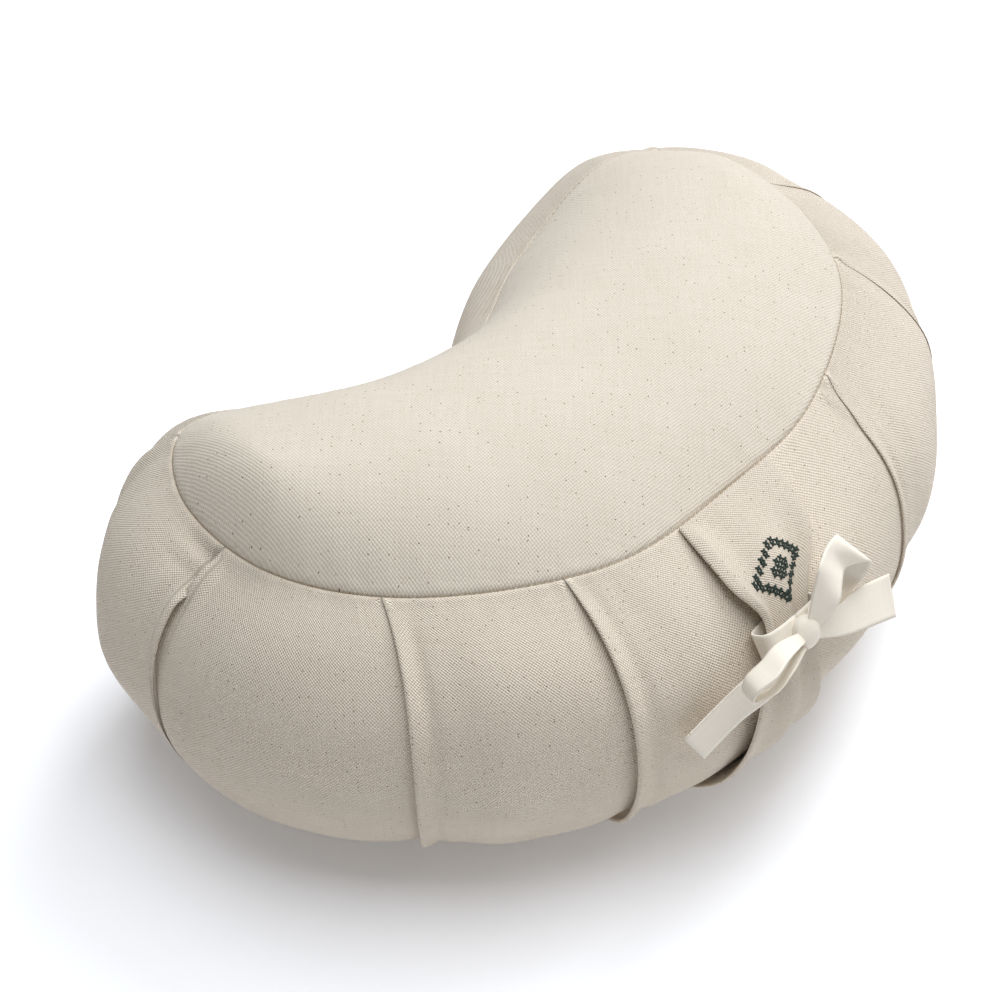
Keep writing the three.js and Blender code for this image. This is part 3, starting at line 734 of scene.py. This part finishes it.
def strapPoint(across, down, through):
    columns = ("along", "half", "gap", "fold")
    value = {name: tableValue(strap["rows"], "down", name, down) for name in columns}
    along = value["along"] + across * value["half"]
    fold = value["fold"] * (1 + np.cos(across * math.pi * strap["folds"]))
    # the side next to the pleat rolls outward, with a trough beside the roll
    fade = 1 - smooth(strap["rollEnd"], strap["rollEnd"] + strap["rollFade"], down)
    rolled = smooth(0, strap["rollStart"], down) * fade
    roll = strap["rollHeight"] * hump(across, strap["rollPlace"], strap["rollReach"])
    troughPlace = strap["rollPlace"] + strap["troughPlace"]
    trough = strap["rollTrough"] * hump(across, troughPlace, strap["troughReach"])
    near = hump(down, waist["down"], strap["gatherReach"])
    gather = strap["gatherHeight"] * near * (1 + np.cos(across * math.pi * strap["gathers"]))
    # the cloth thins to a rounded edge
    edge = np.sqrt(np.clip(1 - np.abs(across) ** strap["edgePower"], 0, 1))
    thick = strap["cloth"] * (0.5 + (through - 0.5) * mix(strap["edgeShare"], 1, edge))
    # below the tape the strap lies back on the cushion
    below = smooth(*strap["lieBack"], down) * (1 - smooth(*strap["leave"], down))
    gap = value["gap"] * mix(1, strap["belowShare"] * (1 - strap["tilt"] * across), below)
    return bandPoint(along / half, down, gap + fold + (roll - trough) * rolled + gather + thick)


def addSheet(name, pointAt, acrossSteps, downSteps, material, flatWidth):
    # two faces and a rim; the cloth's own lengths go to the uv map
    across, down = np.meshgrid(np.linspace(0, 1, acrossSteps + 1), np.linspace(0, 1, downSteps + 1))
    sides = [pointAt(across, down, through) for through in (0.0, 1.0)]
    points = np.concatenate([side.reshape(-1, 3) for side in sides])
    wide = acrossSteps + 1
    sheet = wide * (downSteps + 1)
    middle = (sides[0] + sides[1])[:, acrossSteps // 2] / 2
    run = runAlong(middle)
    u = np.tile(across * flatWidth, (2, 1, 1)).reshape(-1)
    v = np.tile(np.broadcast_to(run[:, None], across.shape), (2, 1, 1)).reshape(-1)
    faces = []
    for d in range(downSteps):
        for a in range(acrossSteps):
            i = d * wide + a
            faces.append((i, i + 1, i + wide + 1, i + wide))
            faces.append((i + sheet, i + sheet + wide, i + sheet + wide + 1, i + sheet + 1))
    rim = (list(range(acrossSteps)) + [d * wide + acrossSteps for d in range(downSteps)]
           + [downSteps * wide + a for a in range(acrossSteps, 0, -1)]
           + [d * wide for d in range(downSteps, 0, -1)])
    for k, i in enumerate(rim):
        j = rim[(k + 1) % len(rim)]
        faces.append((j, i, i + sheet, j + sheet))
    uvs = [(u[i], v[i]) for face in faces for i in face]
    return addMesh(name, points, faces, uvs, material), run[-1]


firstDown, lastDown = strap["rows"][0]["down"], strap["rows"][-1]["down"]
strapPiece, strapLength = addSheet(
    "carryStrap", lambda a, d, through: strapPoint(2 * a - 1, mix(firstDown, lastDown, d), through),
    strap["across"], strap["down"], strapCanvas, 57)
print("strap made, length", round(strapLength))

# the bow: edges of the tape from the knot's middle, x to the right, out away from the cushion, z up

tape = {"cloth": 0.7, "width": 20, "steps": 8}
knot = {"x": -22, "y": -132.6, "z": 126, "wide": 6.8, "deep": 5.4, "high": 7.6,
        "turns": 48, "rows": 28, "groove": 0.07, "folds": 2.5, "twist": 1.3, "tilt": -0.3,
        "cloth": (0.7, 0.5)}
wrap = {"half": 16, "deep": 6.1, "high": 13, "round": 3.4}
bowRuns = {
    "upperLoop": [((0, 0, 5), (4, 2, 0)), ((4, -2, 21), (13, 5, 12)), ((7, -3, 30), (19, 1, 15)),
                  ((16, -7, 31), (27, -3, 15)), ((26, -10, 29), (35, 2, 16)), ((33, -13, 18), (42, -2, 2)),
                  ((27, -13, 9), (36, -4, -7)), ((17, -10, 5), (24, -3, -8)), ((2, -2, 4), (4, 0, -2))],
    "upperTail": [((2, 1, 2), (3, 2, -5)), ((19, 1, 1), (14, 7, -9)), ((35, -1, -3), (28, 9, -15)),
                  ((45, 0, -5), (38, 11, -17)), ((52, 2, -5), (47, 12, -20))],
    "lowerLoop": [((-2, 0, 2), (-3, 3, -1)), ((-21, 0, 9), (-28, 12, 16)), ((-30, 1, 8), (-37, 14, 16)),
                  ((-38, 0, 4), (-45, 12, 12)), ((-39, 1, -3), (-46, 11, 5)), ((-32, 3, -8), (-39, 10, 0)),
                  ((-24, 4, -9), (-30, 11, -2)), ((-17, 4, -6), (-21, 10, 0)), ((-2, 1, -2), (-3, 4, -4))],
    "lowerTail": [((-2, 0, -1), (-2, 1, -5)), ((-16, -2, 0), (-11, 4, -12)), ((-33, -3, -3), (-23, 4, -17)),
                  ((-43, -6, -11), (-36, -1, -26)), ((-60, -10, -24), (-51, -6, -41))],
}


def openCurve(points, at):
    # smooth open curve through the points, with its knots spaced by the root of their distance
    p = np.array(points, float)
    gaps = np.linalg.norm(np.diff(p, axis=0), axis=1) ** 0.5
    p = np.vstack([2 * p[0] - p[1], p, 2 * p[-1] - p[-2]])
    gaps = np.concatenate([gaps[:1], gaps, gaps[-1:]])
    place = at * (len(points) - 1)
    i = np.clip(np.floor(place).astype(int), 0, len(points) - 2)
    u = (place - i)[..., None]
    return curveBetween(u, [p[i + k] for k in range(4)], [gaps[i + k][..., None] for k in range(3)])


def tapePiece(name):
    rows = bowRuns[name]
    sides = [[(knot["x"] + x, knot["y"] - out, knot["z"] + z) for x, out, z in (row[k] for row in rows)]
             for k in (0, 1)]

    def pointAt(across, down, through):
        a, b = (openCurve(side, down) for side in sides)
        ahead = sum(openCurve(side, np.minimum(down + 0.01, 1)) for side in sides)
        behind = sum(openCurve(side, np.maximum(down - 0.01, 0)) for side in sides)
        normal = unit(np.cross(b - a, ahead - behind))
        return mix(a, b, across[..., None]) + normal * (through - 0.5) * tape["cloth"]

    return addSheet(name, pointAt, 12, (len(rows) - 1) * tape["steps"], cottonTape, tape["width"])


tapePieces = []
tapeLength = 0
for runName in bowRuns:
    piece, length = tapePiece(runName)
    tapePieces.append(piece)
    tapeLength += length


def makeWrap():
    at, down = waist["along"] / half, waist["down"]
    centre = bandPoint(at, down, waist["rise"])
    outward = unit(bandPoint(at, down, waist["rise"] + 1) - centre)
    right = unit(bandPoint(at + 0.01, down, waist["rise"]) - centre)
    up = unit(-np.cross(right, outward))

    def pointAt(across, turn, through):
        angle = 2 * math.pi * (turn + 0.25)

        def rounded(value):
            return np.sign(value) * np.abs(value) ** (2 / wrap["round"])
        grow = through * tape["cloth"]
        return (centre + right * (rounded(np.cos(angle)) * (wrap["half"] + grow))[..., None]
                + outward * (rounded(np.sin(angle)) * (wrap["deep"] + grow))[..., None]
                + up * ((across - 0.5) * wrap["high"])[..., None])

    return addSheet("tapeWrap", pointAt, 10, 72, cottonTape, wrap["high"])


wrapPiece, wrapLength = makeWrap()
tapePieces.append(wrapPiece)
tapeLength += wrapLength
print("tape made, length", round(tapeLength))


def makeKnot():
    # a tight turn of tape with its folds round it
    turns, rows = knot["turns"], knot["rows"]
    points = []
    for r in range(rows + 1):
        lift = math.pi * (r / rows - 0.5)
        for c in range(turns):
            angle = 2 * math.pi * c / turns
            fold = abs(math.sin(knot["folds"] * angle + knot["twist"] * lift)) ** 0.5
            groove = 1 - knot["groove"] * fold * math.cos(lift)
            x = math.cos(lift) * math.cos(angle) * groove * knot["wide"]
            y = math.cos(lift) * math.sin(angle) * groove * knot["deep"]
            z = math.sin(lift) * knot["high"]
            turned = Matrix.Rotation(knot["tilt"], 3, "X") @ Vector((x, y, z))
            points.append((knot["x"] + turned.x, knot["y"] + turned.y, knot["z"] + turned.z))
    wide, high = knot["cloth"]
    corners = ((0, 0), (1, 0), (1, 1), (0, 1))
    uvs = [((c + i) * wide, (r + j) * high) for r in range(rows) for c in range(turns) for i, j in corners]
    return addMesh("tapeKnot", points, ringFaces(rows, turns), uvs, cottonTape)


knotPiece = makeKnot()


def joined(pieces, name):
    with bpy.context.temp_override(active_object=pieces[0], selected_editable_objects=pieces):
        bpy.ops.object.join()
    pieces[0].name = name
    return pieces[0]


bowPiece = joined(tapePieces, "tapeBow")

# stitches: one short thread, repeated at marked places by a node tree


def makeThread(name, length, thick):
    # a plump stitch along x, flat side on the cloth
    turns, steps = 6, 6
    points = []
    for k in range(steps + 1):
        u = -1 + 2 * k / steps
        radius = thick / 2 * max(0.35, math.sqrt(max(0, 1 - u ** 4)))
        for c in range(turns):
            angle = 2 * math.pi * c / turns
            points.append((u * length / 2, radius * math.cos(angle), radius * math.sin(angle) * 0.8))
    ends = [tuple(range(turns))[::-1], tuple(steps * turns + c for c in range(turns))]
    faces = ringFaces(steps, turns) + ends
    uvs = [(0, 0)] * sum(len(face) for face in faces)
    return addMesh(name, points, faces, uvs, seamThread)


def stitchTree():
    tree = bpy.data.node_groups.new("repeatStitch", "GeometryNodeTree")
    face = tree.interface
    face.new_socket(name="Places", in_out="INPUT", socket_type="NodeSocketGeometry")
    for name, kind in (("Stitch", "NodeSocketObject"), ("Thread", "NodeSocketMaterial"),
                       ("Unevenness", "NodeSocketFloat"), ("Seed", "NodeSocketInt")):
        face.new_socket(name=name, in_out="INPUT", socket_type=kind)
    face.new_socket(name="Stitches", in_out="OUTPUT", socket_type="NodeSocketGeometry")
    given = tree.nodes.new("NodeGroupInput")
    stitch = addNode(tree, "GeometryNodeObjectInfo", {"Object": given.outputs["Stitch"]})
    turn = addNode(tree, "GeometryNodeInputNamedAttribute", {"Name": "turn"}, data_type="FLOAT_VECTOR")
    turned = addNode(tree, "FunctionNodeEulerToRotation", {0: turn.outputs[0]})
    low = addNode(tree, "ShaderNodeMath", {0: 1.0, 1: given.outputs["Unevenness"]}, operation="SUBTRACT")
    high = addNode(tree, "ShaderNodeMath", {0: 1.0, 1: given.outputs["Unevenness"]}, operation="ADD")
    size = addNode(tree, "FunctionNodeRandomValue", {"Min": low.outputs[0], "Max": high.outputs[0],
                                                     "Seed": given.outputs["Seed"]}, data_type="FLOAT")
    copies = addNode(tree, "GeometryNodeInstanceOnPoints", {
        "Points": given.outputs["Places"], "Instance": stitch.outputs["Geometry"],
        "Rotation": turned.outputs[0], "Scale": size.outputs["Value"]})
    solid = addNode(tree, "GeometryNodeRealizeInstances", {0: copies.outputs[0]})
    dressed = addNode(tree, "GeometryNodeSetMaterial", {"Geometry": solid.outputs[0],
                                                        "Material": given.outputs["Thread"]})
    result = tree.nodes.new("NodeGroupOutput")
    tree.links.new(dressed.outputs[0], result.inputs[0])
    return tree


def sewnThreads(name, tree, points, along, out, stitch, thread, seed, unevenness=0.08):
    # places in mm, with the direction of each thread and the way that it faces
    out = unit(out)
    along = unit(along - out * np.sum(along * out, -1, keepdims=True))
    across = np.cross(out, along)
    turns = [Matrix(np.stack(axes, -1)).to_euler() for axes in zip(along, across, out)]
    mesh = bpy.data.meshes.new(name)
    mesh.from_pydata((points * mm).tolist(), [], [])
    mesh.attributes.new("turn", "FLOAT_VECTOR", "POINT").data.foreach_set("vector", np.array(turns).ravel())
    places = newObject(name + "Places", mesh)
    modifier = places.modifiers.new("repeatStitch", "NODES")
    modifier.node_group = tree
    sockets = {item.name: item.identifier for item in tree.interface.items_tree if item.in_out == "INPUT"}
    for key, value in (("Stitch", stitch), ("Thread", thread), ("Unevenness", unevenness), ("Seed", seed)):
        modifier[sockets[key]] = value
    shown = places.evaluated_get(bpy.context.evaluated_depsgraph_get())
    sewn = newObject(name, bpy.data.meshes.new_from_object(shown))
    bpy.data.objects.remove(places)
    sewn.data.polygons.foreach_set("use_smooth", [True] * len(sewn.data.polygons))
    return sewn


stitching = {
    "pitch": 3.0, "length": 2.2, "thick": 0.3, "sunk": 0.65,
    "crossGrid": 2.4, "crossLength": 2.9, "crossThick": 1.1, "motifAt": (0.0, 0.19),
}
# one quarter of the embroidered diamond, a row for each line of crosses out from its middle
motifQuarter = ["110011", "100110", "001100", "011000", "110000", "100000"]


def seamStitches(tree, name, down, seed):
    count = round(seamLength / stitching["pitch"])
    t = -1 + 2 * (np.arange(count) + 0.5) / count
    points = bandPoint(t, down, 0)
    along = bandPoint(t + 0.002, down, 0) - points
    out = unit(bandPoint(t, down, 1) - points) + (0, 0, 1 if down < 0.5 else -1)
    points = points - unit(out) * stitching["sunk"]
    return sewnThreads(name, tree, points, along, out, seamStitch, seamThread, seed)


def embroideredDiamond(tree):
    across0, down0 = stitching["motifAt"]
    size = len(motifQuarter)
    step = 0.01
    middle, beside, lower = (strapPoint(np.array(across0 + a), np.array(down0 + d), 1.0)
                             for a, d in ((0, 0), (step, 0), (0, step)))
    acrossMm, downMm = (np.linalg.norm(point - middle) / step for point in (beside, lower))
    grid = stitching["crossGrid"]
    cells = [(i + 0.5, j + 0.5) for i in range(-size, size) for j in range(-size, size)
             if motifQuarter[min(int(abs(j + 0.5)), size - 1)][min(int(abs(i + 0.5)), size - 1)] == "1"]
    cells = np.array(cells) * grid
    across = across0 + cells[:, 0] / acrossMm
    down = down0 + cells[:, 1] / downMm
    points = strapPoint(across, down, 1.0)
    right = strapPoint(across + 0.01, down, 1.0) - points
    below = strapPoint(across, down + 0.002, 1.0) - points
    out = unit(np.cross(below, right))
    toAxis = np.array([0, 0.02, 60.0]) - points
    out *= -np.sign(np.sum(out * toAxis, -1, keepdims=True))
    # the second thread of each cross lies over the first
    pieces = []
    for k, (way, lift) in enumerate(((1, 0.1), (-1, 0.32))):
        along = unit(right) + way * unit(below)
        pieces.append(sewnThreads("diamondThreads" + str(k), tree, points + out * lift, along, out,
                                  crossStitch, embroideryThread, 31 + k))
    return joined(pieces, "embroideredDiamond")


seamStitch = makeThread("seamStitch", stitching["length"], stitching["thick"])
crossStitch = makeThread("crossStitch", stitching["crossLength"], stitching["crossThick"])
repeatStitch = stitchTree()
topStitches = seamStitches(repeatStitch, "topSeamStitches", 0.0, 21)
baseStitches = seamStitches(repeatStitch, "baseSeamStitches", 1.0, 22)
diamond = embroideredDiamond(repeatStitch)
for tool in (seamStitch, crossStitch):
    bpy.data.objects.remove(tool)
for piece in (topStitches, baseStitches, diamond):
    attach(piece, "root")
print("stitches made")

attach(coverPiece, "root")
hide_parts("cushion")
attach(strapPiece, "root")
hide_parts("carry_strap")
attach(bowPiece, "root")
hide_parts("ribbon_bow")
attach(knotPiece, "root")

# floor, light and camera

studio = {
    "floorHalf": 6.0, "floor": "#FBFBFD", "floorGlow": (0.118, 0.119, 0.123), "fill": 0.2,
    "softboxes": {
        "key": {"power": 26, "size": 1.1, "place": (1.35, 0.3, 1.8), "tint": (0.975, 1.025, 1.085)},
        "over": {"power": 36, "size": 1.6, "place": (0.1, -0.1, 2.2), "tint": (0.965, 1, 1.045)},
        "side": {"power": 4.5, "size": 1.1, "place": (1.3, -1.2, 1.1), "tint": (1, 0.975, 0.93)},
    },
}


def makeStudio():
    size = studio["floorHalf"]
    corners = [(-size, -size, 0), (size, -size, 0), (size, size, 0), (-size, size, 0)]
    mesh = bpy.data.meshes.new("floor")
    mesh.from_pydata(corners, [], [(0, 1, 2, 3)])
    floor = newObject("floor", mesh)
    paint = bpy.data.materials.new("mattWhitePaint")
    paint.use_nodes = True
    shader = paint.node_tree.nodes["Principled BSDF"]
    shader.inputs["Base Color"].default_value = linear(studio["floor"])
    shader.inputs["Roughness"].default_value = 0.9
    # a white table lit a little from below, which keeps the shadows pale
    shader.inputs["Emission Color"].default_value = (*studio["floorGlow"], 1)
    shader.inputs["Emission Strength"].default_value = 1.0
    mesh.materials.append(paint)
    world = bpy.data.worlds.new("studio")
    world.use_nodes = True
    scene.world = world
    world.node_tree.nodes["Background"].inputs[0].default_value = (1, 1, 1, 1)
    world.node_tree.nodes["Background"].inputs[1].default_value = studio["fill"]
    for name, box in studio["softboxes"].items():
        lamp = bpy.data.lights.new(name + "Softbox", "AREA")
        lamp.energy = box["power"]
        lamp.size = box["size"]
        lamp.color = box["tint"]
        holder = newObject(name + "Softbox", lamp)
        holder.location = box["place"]
        holder.rotation_mode = "QUATERNION"
        aim = Vector((0, 0.02, 0.08)) - holder.location
        holder.rotation_quaternion = aim.to_track_quat("-Z", "Y")
    scene.view_settings.view_transform = "Standard"


view = {"azimuth": -45.47, "elevation": 45.45, "distance": 1.01395, "aim": (0, 0.056, 0.070),
        "focalPixels": 2178.5, "shiftRight": 12.47, "shiftUp": 30.79, "roll": 0.157, "frame": 992}


def makeCamera():
    a, e = math.radians(view["azimuth"]), math.radians(view["elevation"])
    back = Vector((math.sin(a) * math.cos(e), -math.cos(a) * math.cos(e), math.sin(e)))
    right = Vector((math.cos(a), math.sin(a), 0))
    up = back.cross(right)
    turn = Matrix((right, up, back)).transposed() @ Matrix.Rotation(math.radians(view["roll"]), 3, "Z")
    lens = bpy.data.cameras.new("camera")
    lens.sensor_fit = "HORIZONTAL"
    lens.sensor_width = 36
    lens.lens = view["focalPixels"] / view["frame"] * lens.sensor_width
    lens.shift_x = -view["shiftRight"] / view["frame"]
    lens.shift_y = -view["shiftUp"] / view["frame"]
    lens.clip_start = 0.05
    lens.clip_end = 20
    holder = newObject("camera", lens)
    holder.rotation_mode = "QUATERNION"
    holder.rotation_quaternion = turn.to_quaternion()
    holder.location = Vector(view["aim"]) + back * view["distance"]
    scene.camera = holder


makeStudio()
makeCamera()
print("studio made")
